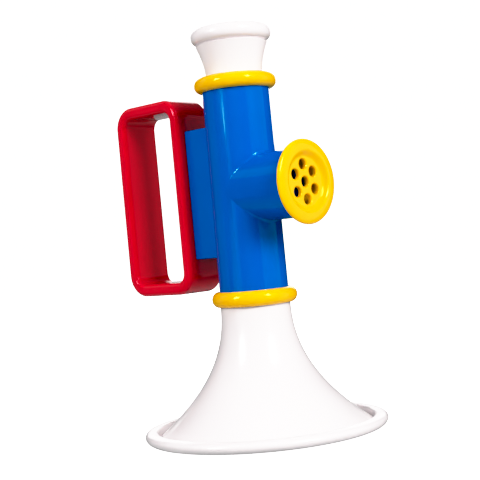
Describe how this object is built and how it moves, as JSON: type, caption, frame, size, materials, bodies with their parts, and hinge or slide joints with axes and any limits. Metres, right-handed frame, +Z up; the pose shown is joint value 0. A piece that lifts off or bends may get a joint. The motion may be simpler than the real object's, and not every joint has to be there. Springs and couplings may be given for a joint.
{
  "type": "toy trumpet",
  "caption": "Toddler's plastic toy trumpet: flared bell, hollow tee body with a perforated sound cap, loop handle, cup mouthpiece and a pair of free reeds inside the tube.",
  "frame": {"origin": "on the floor under the middle of the object's footprint, with the trumpet standing on its bell", "axes": "+Z up the tube towards the mouthpiece, +X towards the sound cap, -X towards the loop handle"},
  "size_m": [0.128, 0.11, 0.1836],
  "materials": {
    "white_plastic": "glossy white moulding",
    "blue_plastic": "glossy blue moulding",
    "yellow_plastic": "glossy yellow moulding",
    "red_plastic": "glossy red moulding",
    "carrier_plastic": "satin natural moulding",
    "gasket_rubber": "matt black rubber",
    "reed_brass": "bright brass strip",
    "screw_steel": "bright plated steel"
  },
  "bodies": {
    "trumpet": {"bell": "white_plastic", "body": "blue_plastic", "handle": "red_plastic", "handle_screw_lower": "screw_steel", "handle_screw_upper": "screw_steel", "lower_collar": "yellow_plastic", "mouthpiece": "white_plastic", "reed_carrier": "carrier_plastic", "reed_gasket": "gasket_rubber", "reed_plate": "reed_brass", "reed_rivet_blow": "reed_brass", "reed_rivet_draw": "reed_brass", "sound_cap": "yellow_plastic", "upper_collar": "yellow_plastic"},
    "reed_blow": {"reed_tongue_blow": "reed_brass"},
    "reed_draw": {"reed_tongue_draw": "reed_brass"}
  },
  "joints": [
    {"name": "reed_blow_flex", "type": "hinge", "parent": "trumpet", "child": "reed_blow", "pos_m": [0.00248, 0.0024, 0.1452], "axis": [0, 1, 0], "range_deg": [-4, 4], "stiffness_Nm_per_rad": 0.003},
    {"name": "reed_draw_flex", "type": "hinge", "parent": "trumpet", "child": "reed_draw", "pos_m": [0.00248, -0.0024, 0.1432], "axis": [0, 1, 0], "range_deg": [-4, 4], "stiffness_Nm_per_rad": 0.003}
  ]
}
